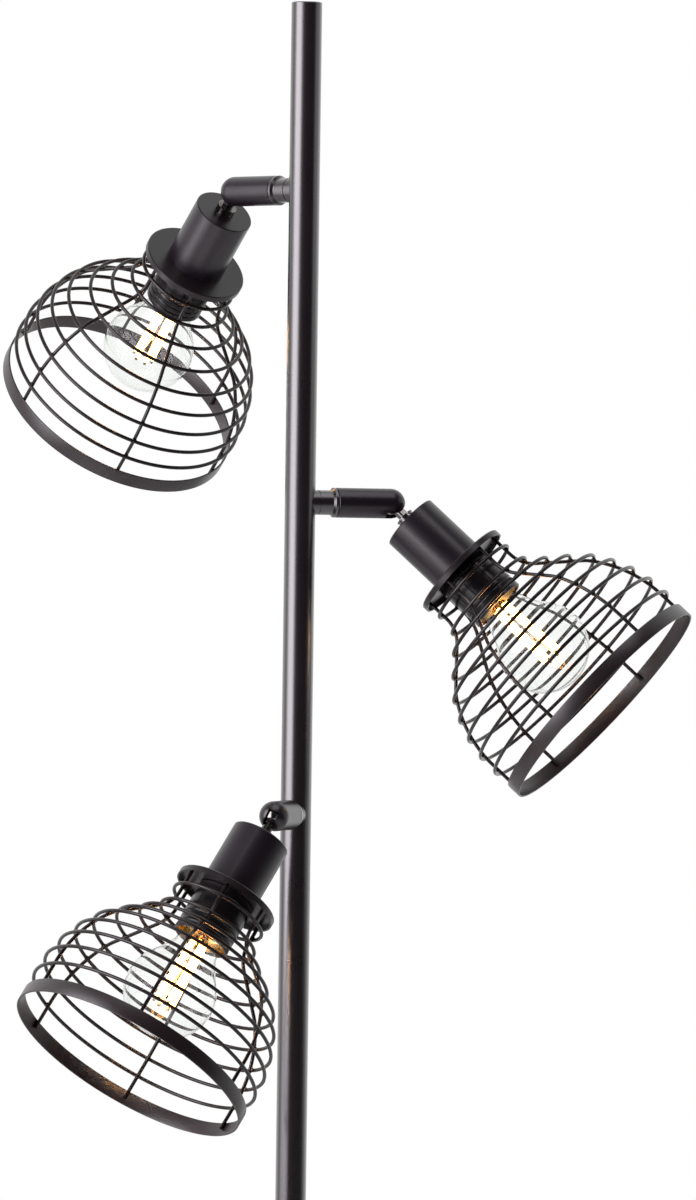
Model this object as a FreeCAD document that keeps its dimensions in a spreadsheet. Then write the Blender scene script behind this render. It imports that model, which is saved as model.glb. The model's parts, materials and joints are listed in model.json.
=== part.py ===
import FreeCAD, Part
import Sketcher
import math
import os

# A floor lamp. A thin black pole stands on a heavy round base and carries three spot heads, one
# above the other and a third of a turn apart. Each spot has a short arm whose barrel swivels on a
# spindle, a ball joint that tilts in a slot at the barrel's end, a cup with a lampholder, and a
# bell-shaped cage of welded wire round a clear bulb. Millimetres, +Z up, origin on the floor under
# the pole's axis.

document = FreeCAD.newDocument("cage_lamp")
sheet = document.addObject("Spreadsheet::Sheet", "Sizes")


class Size:
    """A length or angle that knows its number and the sheet formula that gives it."""

    def __init__(self, number, formula):
        self.number = number
        self.formula = formula

    def __add__(self, other):
        other = plain(other)
        return Size(self.number + other.number, f"({self.formula} + {other.formula})")

    def __sub__(self, other):
        other = plain(other)
        return Size(self.number - other.number, f"({self.formula} - {other.formula})")

    def __mul__(self, factor):
        return Size(self.number * factor, f"({self.formula} * {factor})")

    def __truediv__(self, factor):
        return Size(self.number / factor, f"({self.formula} / {factor})")

    def __neg__(self):
        return Size(-self.number, f"(-{self.formula})")


def plain(value):
    """Turns a bare number into a Size."""
    return value if isinstance(value, Size) else Size(float(value), str(value))


def leg(slant, side):
    """The other short side of a right triangle: how high a ball's surface is at a given radius."""
    rise = math.sqrt(slant.number**2 - side.number**2)
    return Size(rise, f"sqrt({slant.formula} * {slant.formula} - {side.formula} * {side.formula})")


sheet_row = 0


def size(name, number, meaning):
    """Puts one driving dimension on the sheet, under an alias."""
    global sheet_row
    sheet_row += 1
    sheet.set(f"A{sheet_row}", meaning)
    sheet.set(f"B{sheet_row}", str(number))
    sheet.setAlias(f"B{sheet_row}", name)
    return Size(float(number), f"Sizes.{name}")


# Pole and base
pole_height = size("pole_height", 1600, "floor to the top of the pole")
pole_radius = size("pole_radius", 10, "outside of the pole tube")
pole_wall = size("pole_wall", 1.2, "wall of the pole tube")
pole_joint_height = size("pole_joint_height", 700, "where the lower and upper tubes meet")
coupler_length = size("coupler_length", 80, "turned piece inside both tubes")
plug_thickness = size("plug_thickness", 2, "visible disc of the top plug")
plug_spigot = size("plug_spigot", 12, "depth of the top plug in the tube")
push_fit = size("push_fit", 0.05, "radial gap of pieces pushed or screwed together")
wire_hole = size("wire_hole", 3, "radius of every passage for the wires")
base_radius = size("base_radius", 130, "outside of the base cover")
base_height = size("base_height", 22, "floor to the top of the base cover")
cover_wall = size("cover_wall", 1.5, "sheet of the base cover")
cover_round = size("cover_round", 8, "outer rounding of the base cover's edge")
cover_lift = size("cover_lift", 1.5, "floor to the cover's lower edge")
weight_gap = size("weight_gap", 3.5, "gap round the cast weight inside the cover")
weight_bevel = size("weight_bevel", 6, "bevel of the weight's upper edge")
foot_height = size("foot_height", 3, "rubber ring under the weight")
foot_width = size("foot_width", 12, "radial width of the rubber ring")
foot_inset = size("foot_inset", 5, "rubber ring in from the weight's edge")
recess_radius = size("recess_radius", 18, "recess for the nut under the weight")
recess_depth = size("recess_depth", 9, "depth of that recess")
rod_radius = size("rod_radius", 5, "threaded rod that clamps the pole to the base")
rod_gap = size("rod_gap", 0.2, "radial gap of the rod in its holes")
rod_plug_length = size("rod_plug_length", 35, "part of the rod's head inside the pole")
washer_radius = size("washer_radius", 14, "washer under the weight")
washer_thickness = size("washer_thickness", 1.5, "washer under the weight")
base_nut_corner = size("base_nut_corner", 9.8, "base nut, centre to corner")
base_nut_height = size("base_nut_height", 5, "base nut")
channel_width = size("channel_width", 9, "cable channel in the weight")
inlet_height = size("inlet_height", 9, "cable inlet's axis above the floor")
inlet_radius = size("inlet_radius", 3.2, "bore of the inlet grommet")
grommet_neck = size("grommet_neck", 1.6, "rubber between the bore and the cover's hole")
grommet_flange = size("grommet_flange", 1.6, "how far the grommet's flanges stand over the hole")
grommet_lip = size("grommet_lip", 1.4, "thickness of each grommet flange")

# Arms
top_arm_drop = size("top_arm_drop", 122, "top of the pole to the upper arm's axis")
arm_pitch = size("arm_pitch", 203, "from one arm's axis down to the next")
first_azimuth = size("first_azimuth", 137.3, "direction of the upper arm, from +X towards +Y")
azimuth_step = size("azimuth_step", 120, "turn from one arm to the next one down")
sleeve_radius = size("sleeve_radius", 8.1, "stub between the pole and the collar")
collar_start = size("collar_start", 20.7, "pole axis to the collar")
collar_width = size("collar_width", 2.9, "fixed collar that the barrel turns against")
collar_taper = size("collar_taper", 1.3, "cone from the stub up to the collar")
barrel_radius = size("barrel_radius", 9.75, "outside of the barrel and its round end")
edge_bevel = size("edge_bevel", 0.6, "bevel of turned edges")
turn_gap = size("turn_gap", 0.3, "gap at the collar and round the ball")
ball_reach = size("ball_reach", 61.5, "pole axis to the centre of the ball")
ball_radius = size("ball_radius", 8, "ball of the tilting joint")
spindle_radius = size("spindle_radius", 5, "spindle that the barrel turns on")
spindle_length = size("spindle_length", 13.5, "spindle beyond the collar")
running_fit = size("running_fit", 0.05, "radial gap of the spindle in its bush")
bush_length = size("bush_length", 7.7, "bush screwed into the barrel")
spindle_nut_corner = size("spindle_nut_corner", 7.2, "spindle nut, centre to corner")
spindle_nut_height = size("spindle_nut_height", 4.5, "spindle nut")
groove_start = size("groove_start", 11.6, "pole axis to the fine groove round the stub")
groove_depth = size("groove_depth", 0.4, "fine groove round the stub")
groove_width = size("groove_width", 0.6, "fine groove round the stub")
seat_wall = size("seat_wall", 0.5, "long skirt of the ball's seat")
seat_bore = size("seat_bore", 4, "hole in the seat for the wires")
seat_edge = size("seat_edge", 0.7, "flat rim of the seat round the ball")
seat_start = size("seat_start", 13.5, "back face of the seat, from the ball's centre")
slot_width = size("slot_width", 7, "slot for the neck, across")
slot_relief = size("slot_relief", 4.2, "slot beyond the ball's centre at both ends")

# Heads
swivel_angles = [size("upper_swivel", -9.7, "turn of the upper barrel"),
                 size("middle_swivel", -29.1, "turn of the middle barrel"),
                 size("lower_swivel", -25, "turn of the lower barrel")]
tilt_angles = [size("upper_tilt", 47.4, "upper head's axis from its arm's axis"),
               size("middle_tilt", 49.8, "middle head's axis from its arm's axis"),
               size("lower_tilt", 63.4, "lower head's axis from its arm's axis")]
cage_turns = [size("upper_cage_turn", 18, "where the upper cage's first rib stands"),
              size("middle_cage_turn", 35.7, "where the middle cage's first rib stands"),
              size("lower_cage_turn", 5, "where the lower cage's first rib stands")]
thread_fit = size("thread_fit", 0.1, "radial gap of screwed pieces in a head")
neck_radius = size("neck_radius", 3.6, "neck under the ball")
neck_flat = size("neck_flat", 6.4, "neck across the flats that run in the slot")
stem_radius = size("stem_radius", 4.9, "threaded stem under the neck")
stem_end = size("stem_end", 34, "ball's centre to the stem's lower end")
ring_nut_top = size("ring_nut_top", 12.7, "ball's centre to the ridged nut")
ring_nut_radius = size("ring_nut_radius", 6.4, "ridged nut over its ridges")
ridge_count = 3
ridge_depth = size("ridge_depth", 0.6, "ridges of the nut")
lock_nut_corner = size("lock_nut_corner", 8.6, "nut inside the cup, centre to corner")
lock_nut_height = size("lock_nut_height", 4, "nut inside the cup")
cup_top = size("cup_top", 17.5, "ball's centre to the cup's flat top")
cup_radius = size("cup_radius", 19.5, "outside of the cup")
cup_wall = size("cup_wall", 1.2, "wall of the cup")
cup_lid = size("cup_lid", 1.5, "thickness of the cup's top")
disc_top = size("disc_top", 62.5, "ball's centre to the disc's upper face")
disc_radius = size("disc_radius", 34.5, "outside of the disc that carries the cage")
disc_sheet = size("disc_sheet", 1.2, "sheet of the disc")
disc_rim = size("disc_rim", 4.2, "height of the disc's turned-down rim")
holder_thread = size("holder_thread", 16.5, "threaded part of the lampholder")
holder_radius = size("holder_radius", 19.2, "skirt of the lampholder")
holder_mouth = size("holder_mouth", 17.6, "inside of the lampholder's skirt")
holder_bore = size("holder_bore", 14.6, "inside of the lampholder's threaded part")
holder_top = size("holder_top", 50, "ball's centre to the holder's upper edge")
holder_floor = size("holder_floor", 56, "ball's centre to the holder's floor")
floor_thickness = size("floor_thickness", 3, "floor of the lampholder")
skirt_top = size("skirt_top", 70, "ball's centre to the holder's skirt")
holder_end = size("holder_end", 98.5, "ball's centre to the holder's lower rim")
cap_top = size("cap_top", 26, "ball's centre to the holder cap")
cap_neck_radius = size("cap_neck_radius", 9, "threaded neck of the holder cap")
cap_neck_length = size("cap_neck_length", 7, "threaded neck of the holder cap")
cap_slope = size("cap_slope", 7, "height of the holder cap's cone")
cap_radius = size("cap_radius", 17.8, "outside of the holder cap")
cap_end = size("cap_end", 54, "ball's centre to the holder cap's lower edge")
shade_ring_radius = size("shade_ring_radius", 19.6, "ring that clamps the disc")
shell_wall = size("shell_wall", 0.9, "brass screw shell")
shell_end = size("shell_end", 86, "ball's centre to the screw shell's lower edge")
contact_radius = size("contact_radius", 6, "centre contact")
contact_stem = size("contact_stem", 2.8, "rivet of the centre contact")
contact_drop = size("contact_drop", 2.2, "centre contact below the floor")

# Bulb
bulb_gap = size("bulb_gap", 0.3, "between the centre contact and the bulb")
bulb_cap_radius = size("bulb_cap_radius", 13.2, "screw cap of the bulb")
bulb_cap_length = size("bulb_cap_length", 26.5, "screw cap of the bulb")
bulb_cap_wall = size("bulb_cap_wall", 0.6, "sheet of the screw cap")
bulb_tip_radius = size("bulb_tip_radius", 4.5, "contact under the screw cap")
bulb_shoulder = size("bulb_shoulder", 5, "height of the insulator on the screw cap")
bulb_radius = size("bulb_radius", 30, "largest radius of the glass")
bulb_centre = size("bulb_centre", 138.5, "ball's centre to the centre of the round glass")
bulb_neck_radius = size("bulb_neck_radius", 12.3, "glass inside the screw cap")
bulb_neck_length = size("bulb_neck_length", 4, "glass inside the screw cap")
glass_wall = size("glass_wall", 0.8, "wall of the glass")
mount_length = size("mount_length", 28, "glass post that carries the filament")
mount_radius = size("mount_radius", 2.2, "glass post that carries the filament")

# Cage
wire_width = size("wire_width", 2.4, "thickness of the cage wire")
weld_sink = size("weld_sink", 0.3, "how deep a welded wire sinks into the next")
wire_sides = 4
rib_count = 6
cage_ring_count = 9
flare_ring_count = 5
cage_neck_radius = size("cage_neck_radius", 29.8, "middle of the ribs under the disc")
neck_bend = size("neck_bend", 22, "bend of the ribs from the neck to the flare")
flare_angle = size("flare_angle", 47.5, "flare of the bell from its axis")
flare_start = size("flare_start", 27.1, "disc's upper face to where neck and flare would meet")
shoulder_bend = size("shoulder_bend", 30, "tight bend of the ribs above the dome")
dome_angle = size("dome_angle", 35.3, "slope of the ribs where the dome starts")
dome_bend = size("dome_bend", 83, "bend of the ribs round the dome")
first_ring = size("first_ring", 12.8, "along a rib, from the disc to the first ring")
flare_pitch = size("flare_pitch", 15.1, "along a rib, from ring to ring down to the shoulder")
dome_pitch = size("dome_pitch", 13.3, "along a rib, from ring to ring below the shoulder")
rib_end = size("rib_end", 127.5, "disc's upper face to the lower end of the ribs")
band_radius = size("band_radius", 81, "outside of the flat band at the mouth")
band_sheet = size("band_sheet", 1.2, "thickness of the band")
band_top = size("band_top", 121.8, "disc's upper face to the band")
band_width = size("band_width", 9.8, "height of the band")

document.recompute()


# ---- how the pieces are made -------------------------------------------------------------------

def arc_edge(first, last, radius, bulge):
    """An arc between two sketch points. bulge is +1 where its centre lies left of the way there."""
    way = last - first
    half = way.Length / 2
    rise = math.sqrt(max(radius**2 - half**2, 0))
    left = FreeCAD.Vector(-way.y, way.x, 0).normalize()
    centre = (first + last) / 2 + left * (rise * bulge)
    start, end = (first, last) if bulge > 0 else (last, first)
    turn = [math.atan2(point.y - centre.y, point.x - centre.x) for point in (start, end)]
    circle = Part.Circle(centre, FreeCAD.Vector(0, 0, 1), radius)
    return Part.ArcOfCircle(circle, turn[0], turn[1])


def draw_outline(sketch, corners):
    """Draws a closed outline through the corners and ties every corner to the sheet.

    A corner is (across, up), or (across, up, radius, bulge) where an arc leads to it.
    """
    spots = [FreeCAD.Vector(plain(c[0]).number, plain(c[1]).number, 0) for c in corners]
    count = len(corners)
    ends = []
    for index in range(count):
        following = (index + 1) % count
        target = corners[following]
        if len(target) == 4:
            radius, bulge = target[2], target[3]
            edge = sketch.addGeometry(arc_edge(spots[index], spots[following], radius.number, bulge))
            place = sketch.addConstraint(Sketcher.Constraint("Radius", edge, radius.number))
            sketch.setExpression(f"Constraints[{place}]", radius.formula)
            ends.append((edge, 1, 2) if bulge > 0 else (edge, 2, 1))
        else:
            ends.append((sketch.addGeometry(Part.LineSegment(spots[index], spots[following])), 1, 2))
    for index in range(count):
        following = (index + 1) % count
        sketch.addConstraint(Sketcher.Constraint("Coincident", ends[index][0], ends[index][2],
                                                 ends[following][0], ends[following][1]))
    for index, corner in enumerate(corners):
        edge, point = ends[index][:2]
        for direction, value in (("DistanceX", plain(corner[0])), ("DistanceY", plain(corner[1]))):
            place = sketch.addConstraint(Sketcher.Constraint(direction, edge, point, value.number))
            sketch.setExpression(f"Constraints[{place}]", value.formula)


def new_sketch(body, role, name):
    """A sketch on one of the body's own origin planes."""
    sketch = body.newObject("Sketcher::SketchObject", name)
    plane = [feature for feature in body.Origin.OriginFeatures if feature.Role == role][0]
    sketch.AttachmentSupport = [(plane, "")]
    sketch.MapMode = "FlatFace"
    return sketch


def turned(name, corners):
    """A turned piece: an outline beside the Z axis, revolved."""
    body = document.addObject("PartDesign::Body", name)
    sketch = new_sketch(body, "XZ_Plane", name + "_outline")
    draw_outline(sketch, corners)
    revolution = body.newObject("PartDesign::Revolution", name + "_turned")
    revolution.Profile = sketch
    revolution.ReferenceAxis = (sketch, ["V_Axis"])
    revolution.Angle = 360
    sketch.Visibility = False
    return body


def bind(feature, **sizes):
    """Ties properties of a feature to the sheet."""
    for name, value in sizes.items():
        feature.setExpression(name, plain(value).formula)
    return feature


def move(feature, x=0, y=0, z=0):
    """Ties a feature's place to the sheet."""
    for letter, value in (("x", x), ("y", y), ("z", z)):
        feature.setExpression(f"Placement.Base.{letter}", plain(value).formula)
    return feature


def cylinder(name, radius, height, x=0, y=0, z=0):
    return move(bind(document.addObject("Part::Cylinder", name), Radius=radius, Height=height), x, y, z)


def box(name, length, width, height, x=0, y=0, z=0):
    feature = bind(document.addObject("Part::Box", name), Length=length, Width=width, Height=height)
    return move(feature, x, y, z)


def cut(name, base, tool):
    feature = document.addObject("Part::Cut", name)
    feature.Base = base
    feature.Tool = tool
    return feature


def group(name, members, kind="Part::Compound"):
    feature = document.addObject(kind, name)
    if kind == "Part::Compound":
        feature.Links = members
    else:
        feature.Shapes = members
    return feature


def hex_nut(name, corner, bore, height, z):
    """A six-sided nut with its lower face at z."""
    blank = bind(document.addObject("Part::Prism", name + "_blank"), Circumradius=corner, Height=height)
    blank.Polygon = 6
    move(blank, z=z)
    return cut(name, blank, cylinder(name + "_bore", bore, height, z=z))


def turn(axis, angle):
    return FreeCAD.Placement(FreeCAD.Vector(0, 0, 0), FreeCAD.Rotation(FreeCAD.Vector(*axis), angle))


def shift(x=0, y=0, z=0):
    return FreeCAD.Placement(FreeCAD.Vector(x, y, z), FreeCAD.Rotation())


sub_parts = []


def finish(feature, label, placement=None):
    """Gives a finished sub-part its label and its place in the lamp."""
    feature.Label = label
    if placement is not None:
        feature.Placement = placement
    sub_parts.append(feature)


# ---- pole and base -----------------------------------------------------------------------------

tube_inside = pole_radius - pole_wall
insert_radius = tube_inside - push_fit
tube_top = pole_height - plug_thickness
weight_top = base_height - cover_wall
weight_radius = base_radius - cover_wall - weight_gap
rod_hole = rod_radius + rod_gap
washer_bottom = foot_height + recess_depth - washer_thickness
grommet_hole = inlet_radius + grommet_neck


def arm_height(level):
    """Height of an arm's axis. Level 0 is the upper arm."""
    return pole_height - top_arm_drop - arm_pitch * level


def arm_azimuth(level):
    return first_azimuth.number - azimuth_step.number * level


def tube(name, bottom, top):
    return turned(name, [(tube_inside, bottom), (pole_radius, bottom),
                         (pole_radius, top), (tube_inside, top)])


def make_pole():
    finish(tube("lower_tube", base_height, pole_joint_height), "pole_lower_tube")

    # The upper tube has one hole for the wires behind each arm.
    wire_holes = []
    for level in range(3):
        hole = bind(document.addObject("Part::Cylinder", f"wire_hole_{level}"),
                    Radius=wire_hole, Height=pole_radius * 2)
        direction = turn((0, 0, 1), arm_azimuth(level)).multiply(turn((0, 1, 0), 90))
        hole.Placement = shift(z=arm_height(level).number).multiply(direction)
        wire_holes.append(hole)
    holes = group("wire_holes", wire_holes, "Part::MultiFuse")
    finish(cut("upper_tube", tube("upper_tube_blank", pole_joint_height, tube_top), holes),
           "pole_upper_tube")

    coupler_bottom = pole_joint_height - coupler_length / 2
    coupler_top = pole_joint_height + coupler_length / 2
    finish(turned("coupler", [(rod_radius, coupler_bottom), (insert_radius, coupler_bottom),
                              (insert_radius, coupler_top), (rod_radius, coupler_top)]),
           "pole_coupler")

    finish(turned("plug", [(0, tube_top - plug_spigot), (insert_radius, tube_top - plug_spigot),
                           (insert_radius, tube_top), (pole_radius, tube_top),
                           (pole_radius, pole_height - edge_bevel),
                           (pole_radius - edge_bevel, pole_height), (0, pole_height)]),
           "pole_top_plug")

    rod_bottom = washer_bottom - base_nut_height - edge_bevel
    finish(turned("rod", [(wire_hole, rod_bottom), (rod_radius, rod_bottom),
                          (rod_radius, base_height), (insert_radius, base_height),
                          (insert_radius, base_height + rod_plug_length),
                          (wire_hole, base_height + rod_plug_length)]),
           "pole_foot_rod")


def make_base():
    inner_round = cover_round - cover_wall
    side_inside = base_radius - cover_wall
    shell = turned("cover_shell", [
        (rod_hole, weight_top), (base_radius - cover_round, weight_top),
        (side_inside, base_height - cover_round, inner_round, -1),
        (side_inside, cover_lift), (base_radius, cover_lift),
        (base_radius, base_height - cover_round),
        (base_radius - cover_round, base_height, cover_round, 1), (rod_hole, base_height)])
    inlet = bind(document.addObject("Part::Cylinder", "inlet_hole"),
                 Radius=grommet_hole, Height=weight_gap * 4)
    inlet.Placement = shift(0, side_inside.number - weight_gap.number / 2,
                            inlet_height.number).multiply(turn((1, 0, 0), -90))
    finish(cut("cover", shell, inlet), "base_cover")

    blank = turned("weight_blank", [
        (rod_hole, foot_height + recess_depth), (recess_radius, foot_height + recess_depth),
        (recess_radius, foot_height), (weight_radius, foot_height),
        (weight_radius, weight_top - weight_bevel), (weight_radius - weight_bevel, weight_top),
        (rod_hole, weight_top)])
    channel = box("channel", channel_width, weight_radius, inlet_height,
                  x=-channel_width / 2, z=foot_height)
    finish(cut("weight", blank, channel), "base_weight")

    foot_outside = weight_radius - foot_inset
    finish(turned("foot", [(foot_outside - foot_width, 0), (foot_outside, 0),
                           (foot_outside, foot_height), (foot_outside - foot_width, foot_height)]),
           "base_foot_ring")

    washer = turned("washer", [(rod_hole, washer_bottom), (washer_radius, washer_bottom),
                               (washer_radius, washer_bottom + washer_thickness),
                               (rod_hole, washer_bottom + washer_thickness)])
    nut = hex_nut("base_nut", base_nut_corner, rod_radius + push_fit, base_nut_height,
                  washer_bottom - base_nut_height)
    finish(group("base_fixing", [washer, nut]), "base_nut_and_washer")

    # The grommet's groove sits in the cover's wall, and its bore is the inlet for the cable.
    # The cover's inner wall is round, so it comes nearer to the inner flange beside the hole.
    flange = grommet_hole + grommet_flange
    bow = side_inside - leg(side_inside, flange)
    inside, outside = -(cover_wall / 2 + bow + push_fit), cover_wall / 2
    grommet = turned("grommet", [
        (inlet_radius, inside - grommet_lip), (flange, inside - grommet_lip), (flange, inside),
        (grommet_hole, inside), (grommet_hole, outside), (flange, outside),
        (flange - edge_bevel, outside + grommet_lip), (inlet_radius, outside + grommet_lip)])
    finish(grommet, "cable_grommet",
           shift(0, base_radius.number - cover_wall.number / 2,
                 inlet_height.number).multiply(turn((1, 0, 0), -90)))


# ---- arms, drawn with the arm along +Z and the slot facing +X ----------------------------------

collar_end = collar_start + collar_width
barrel_start = collar_end + turn_gap
cavity_radius = ball_radius + turn_gap
nut_start = barrel_start + bush_length + turn_gap


def arm_placement(level, swivel):
    """Lays an arm piece out from the pole. swivel is the barrel's turn, or 0 for fixed pieces."""
    place = shift(z=arm_height(level).number).multiply(turn((0, 0, 1), arm_azimuth(level)))
    return place.multiply(turn((1, 0, 0), swivel)).multiply(turn((0, 1, 0), 90))


def make_stub(prefix):
    """The stub is coped to the pole, to which it is brazed. Its spindle carries the barrel."""
    groove_end = groove_start + groove_width
    blank = turned(prefix + "stub_blank", [
        (wire_hole, 0), (sleeve_radius, 0), (sleeve_radius, groove_start),
        (sleeve_radius - groove_depth, groove_start), (sleeve_radius - groove_depth, groove_end),
        (sleeve_radius, groove_end), (sleeve_radius, collar_start),
        (barrel_radius, collar_start + collar_taper),
        (barrel_radius, collar_end), (spindle_radius, collar_end),
        (spindle_radius, collar_end + spindle_length), (wire_hole, collar_end + spindle_length)])
    pole_round = bind(document.addObject("Part::Cylinder", prefix + "stub_cope"),
                      Radius=pole_radius, Height=pole_radius * 4)
    pole_round.Placement = shift(-2 * pole_radius.number).multiply(turn((0, 1, 0), 90))
    return cut(prefix + "stub", blank, pole_round)


def make_barrel(prefix):
    """A tube with a round slotted end. The slot lets the neck tilt from in line to square."""
    blank = turned(prefix + "barrel_blank", [
        (cavity_radius, barrel_start), (barrel_radius - edge_bevel, barrel_start),
        (barrel_radius, barrel_start + edge_bevel), (barrel_radius, ball_reach),
        (0, ball_reach + barrel_radius, barrel_radius, 1), (0, ball_reach + cavity_radius),
        (cavity_radius, ball_reach, cavity_radius, -1)])
    slot = box(prefix + "slot", barrel_radius * 2, slot_width, barrel_radius * 2,
               x=-slot_relief, y=-slot_width / 2, z=ball_reach - slot_relief)
    return cut(prefix + "barrel", blank, slot)


def make_bush(prefix):
    """The bush turns on the spindle and closes the barrel. Screwed in, it also presses the seat."""
    outside = cavity_radius - push_fit
    return turned(prefix + "bush", [
        (spindle_radius + running_fit, barrel_start), (outside, barrel_start),
        (outside, barrel_start + bush_length), (spindle_radius + running_fit, barrel_start + bush_length)])


def make_seat(prefix):
    """The seat presses the ball into the barrel's round end, and its skirt reaches the bush."""
    outside = cavity_radius - push_fit
    skirt_inside = outside - seat_wall
    rim = cavity_radius - seat_edge
    back = ball_reach - seat_start
    return turned(prefix + "seat", [
        (skirt_inside, barrel_start + bush_length), (outside, barrel_start + bush_length),
        (outside, ball_reach - leg(cavity_radius, rim)), (rim, ball_reach - leg(cavity_radius, rim)),
        (seat_bore, ball_reach - leg(cavity_radius, seat_bore), cavity_radius, -1),
        (seat_bore, back), (skirt_inside, back)])


# ---- heads, drawn hanging straight down from the ball's centre ---------------------------------

disc_bottom = disc_top + disc_sheet


def head_placement(level):
    """Hangs a head piece on its ball, at its tilt and swivel, and turns the cage."""
    place = shift(z=arm_height(level).number).multiply(turn((0, 0, 1), arm_azimuth(level)))
    place = place.multiply(turn((1, 0, 0), swivel_angles[level].number))
    place = place.multiply(shift(x=ball_reach.number))
    return place.multiply(turn((0, 1, 0), tilt_angles[level].number - 90))


def make_ball(prefix):
    """Ball, neck with two flats and hollow threaded stem, turned in one piece."""
    blank = turned(prefix + "ball_blank", [
        (wire_hole, -stem_end), (stem_radius, -stem_end), (stem_radius, -ring_nut_top),
        (neck_radius, -ring_nut_top), (neck_radius, -leg(ball_radius, neck_radius)),
        (wire_hole, leg(ball_radius, wire_hole), ball_radius, 1)])
    flats = []
    for side in (-1, 1):
        depth = stem_radius
        y = neck_flat / 2 if side > 0 else -(neck_flat / 2) - depth
        flats.append(box(f"{prefix}flat_{side + 1}", stem_radius * 2, depth,
                         ring_nut_top - leg(ball_radius, neck_radius),
                         x=-stem_radius, y=y, z=-ring_nut_top))
    return cut(prefix + "ball", blank, group(prefix + "flats", flats, "Part::MultiFuse"))


def make_neck_nuts(prefix):
    """A ridged ring nut above the cup's top and a six-sided nut below it."""
    height = cup_top - ring_nut_top
    ridge = height / (2 * ridge_count - 1)
    bore = stem_radius + thread_fit
    corners = [(bore, -cup_top)]
    for index in range(ridge_count):
        bottom = ridge * (2 * index) - cup_top
        corners += [(ring_nut_radius, bottom), (ring_nut_radius, bottom + ridge)]
        if index < ridge_count - 1:
            corners += [(ring_nut_radius - ridge_depth, bottom + ridge),
                        (ring_nut_radius - ridge_depth, bottom + ridge * 2)]
    corners += [(bore, -ring_nut_top)]
    lock_nut = hex_nut(prefix + "lock_nut", lock_nut_corner, bore, lock_nut_height,
                       -(cup_top + cup_lid + lock_nut_height))
    return group(prefix + "neck_nuts", [turned(prefix + "ring_nut", corners), lock_nut])


def make_cup(prefix):
    hole = stem_radius + thread_fit
    inside = cup_radius - cup_wall
    return turned(prefix + "cup", [
        (hole, -cup_top), (hole, -(cup_top + cup_lid)), (inside, -(cup_top + cup_lid)),
        (inside, -disc_top), (cup_radius, -disc_top), (cup_radius, -(cup_top + edge_bevel)),
        (cup_radius - edge_bevel, -cup_top)])


def make_disc(prefix):
    """A shallow pressed lid that carries the cage inside its rim."""
    rim_inside = disc_radius - disc_sheet
    rim_bottom = disc_top + disc_rim
    return turned(prefix + "disc", [
        (holder_thread + thread_fit, -disc_top), (holder_thread + thread_fit, -disc_bottom),
        (rim_inside, -disc_bottom), (rim_inside, -rim_bottom), (disc_radius, -rim_bottom),
        (disc_radius, -(disc_top + edge_bevel)), (disc_radius - edge_bevel, -disc_top)])


def make_shade_ring(prefix):
    """Screwed up the lampholder, the ring clamps the disc against the cup."""
    inside = holder_thread + thread_fit
    return turned(prefix + "shade_ring", [
        (inside, -disc_bottom), (inside, -skirt_top + thread_fit),
        (shade_ring_radius, -skirt_top + thread_fit), (shade_ring_radius, -disc_bottom)])


def make_holder_cap(prefix):
    """Upper half of the lampholder. It screws on the stem and over the lower half."""
    bore = stem_radius + thread_fit
    inside = holder_thread + thread_fit
    cone_top = cap_top + cap_neck_length
    cone_end = cone_top + cap_slope
    wall = cap_radius - inside
    return turned(prefix + "holder_cap", [
        (bore, -cap_top), (bore, -(cone_top + wall)), (cap_neck_radius, -(cone_top + wall)),
        (inside, -(cone_end + wall)), (inside, -cap_end), (cap_radius, -cap_end),
        (cap_radius, -cone_end), (cap_neck_radius, -cone_top), (cap_neck_radius, -cap_top)])


def make_holder(prefix):
    """Lower half of the lampholder, with a floor for the centre contact and a wide skirt."""
    floor_bottom = holder_floor + floor_thickness
    return turned(prefix + "holder", [
        (holder_bore, -holder_top), (holder_bore, -holder_floor),
        (contact_stem + thread_fit, -holder_floor), (contact_stem + thread_fit, -floor_bottom),
        (holder_bore, -floor_bottom), (holder_bore, -(shell_end + floor_thickness)),
        (holder_mouth, -(shell_end + floor_thickness)), (holder_mouth, -holder_end),
        (holder_radius - edge_bevel, -holder_end), (holder_radius, -(holder_end - edge_bevel)),
        (holder_radius, -skirt_top), (holder_thread, -skirt_top), (holder_thread, -holder_top)])


def make_contacts(prefix):
    """Brass screw shell and centre contact."""
    floor_bottom = holder_floor + floor_thickness
    outside = holder_bore - thread_fit
    shell = turned(prefix + "screw_shell", [
        (outside - shell_wall, -floor_bottom), (outside - shell_wall, -shell_end),
        (outside, -shell_end), (outside, -floor_bottom)])
    contact = turned(prefix + "centre_contact", [
        (0, -(holder_floor - shell_wall)), (0, -(floor_bottom + contact_drop)),
        (contact_radius, -(floor_bottom + contact_drop)), (contact_radius, -floor_bottom),
        (contact_stem, -floor_bottom), (contact_stem, -(holder_floor - shell_wall))])
    return group(prefix + "contacts", [shell, contact])


bulb_bottom = holder_floor + floor_thickness + contact_drop + bulb_gap
bulb_cap_end = bulb_bottom + bulb_cap_length


def make_bulb_cap(prefix):
    shoulder = bulb_bottom + bulb_shoulder
    inside = bulb_cap_radius - bulb_cap_wall
    return turned(prefix + "bulb_cap", [
        (0, -bulb_bottom), (0, -shoulder), (inside, -(shoulder + bulb_cap_wall)),
        (inside, -bulb_cap_end), (bulb_cap_radius, -bulb_cap_end), (bulb_cap_radius, -shoulder),
        (bulb_tip_radius, -bulb_bottom)])


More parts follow.
